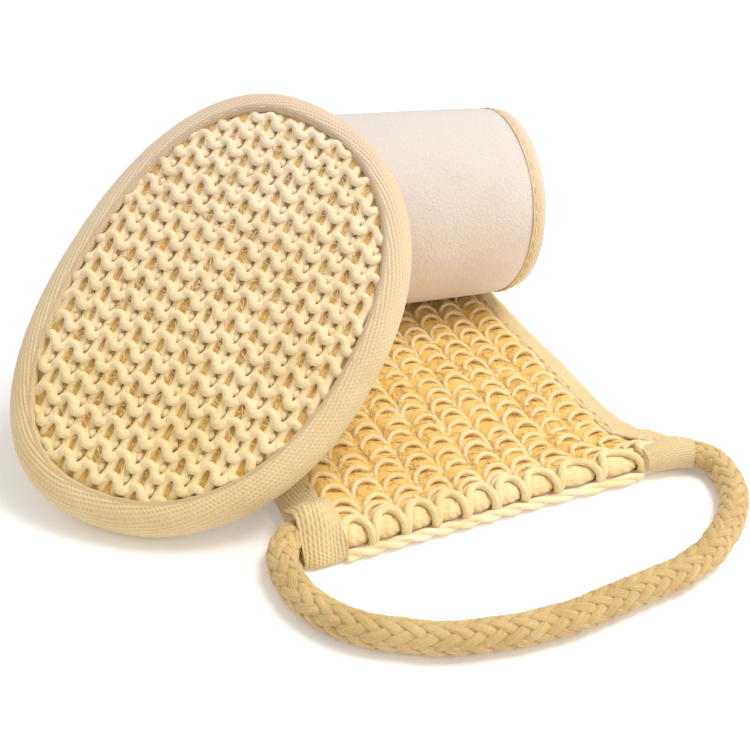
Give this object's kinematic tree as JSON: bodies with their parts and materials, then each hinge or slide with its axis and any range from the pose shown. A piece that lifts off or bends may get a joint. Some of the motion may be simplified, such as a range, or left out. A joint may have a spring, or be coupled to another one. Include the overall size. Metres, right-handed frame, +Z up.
{
  "type": "loofah back scrubber",
  "caption": "Bath scrubbing set: a knitted sisal back strap with terry backing and braided rope handles, rolled up, with an oval hand pad leaning on the roll.",
  "frame": {"origin": "on the underside of the strap, at the middle of its flat stretch and of its width", "axes": "+X across the strap to the right, +Y along the strap from its near edge to the roll, +Z up from the table"},
  "size_m": [0.1927, 0.1941, 0.0867],
  "materials": {
    "sisal_knit": "coarse knitted sisal yarn, matt with a slight sheen along the fibres",
    "fibre_lining": "golden coarse fibre mat, matt",
    "foam": "soft open foam, matt",
    "terry": "short-pile cotton terry, matt",
    "twill_tape": "cotton twill tape with fine slanted ridges",
    "thread": "sewing thread",
    "cotton_rope": "braided cotton rope of flat strands, matt",
    "chain_yarn": "smooth twisted cotton yarn",
    "webbing": "woven cotton webbing, matt"
  },
  "bodies": {
    "strap": {"strap_knit": "sisal_knit", "strap_lining": "fibre_lining", "strap_foam": "foam", "strap_terry": "terry", "edge_tape_left": "twill_tape", "edge_tape_right": "twill_tape", "edge_stitches_left": "thread", "edge_stitches_right": "thread", "end_loops": "sisal_knit", "edge_chain": "chain_yarn", "corner_pocket_left": "twill_tape", "corner_pocket_right": "twill_tape", "corner_tack_left": "thread", "corner_tack_right": "thread", "far_hem": "twill_tape", "far_rope": "cotton_rope", "far_sleeve_left": "twill_tape", "far_sleeve_right": "twill_tape"},
    "near_handle": {"near_rope": "cotton_rope"},
    "pad": {"pad_knit": "sisal_knit", "pad_lining": "fibre_lining", "pad_foam": "foam", "pad_terry": "terry", "pad_tape": "twill_tape", "pad_stitches": "thread", "hand_strap": "webbing", "hand_tack_left": "thread", "hand_tack_right": "thread"}
  },
  "joints": [
    {"name": "handle_swing", "type": "hinge", "parent": "strap", "child": "near_handle", "pos_m": [0, -0.05, 0.005], "axis": [-1, 0, 0], "range_deg": [0, 80]},
    {"name": "pad_lift", "type": "slide", "parent": "strap", "child": "pad", "axis": [0, 0, 1], "range_m": [0, 0.12]}
  ]
}
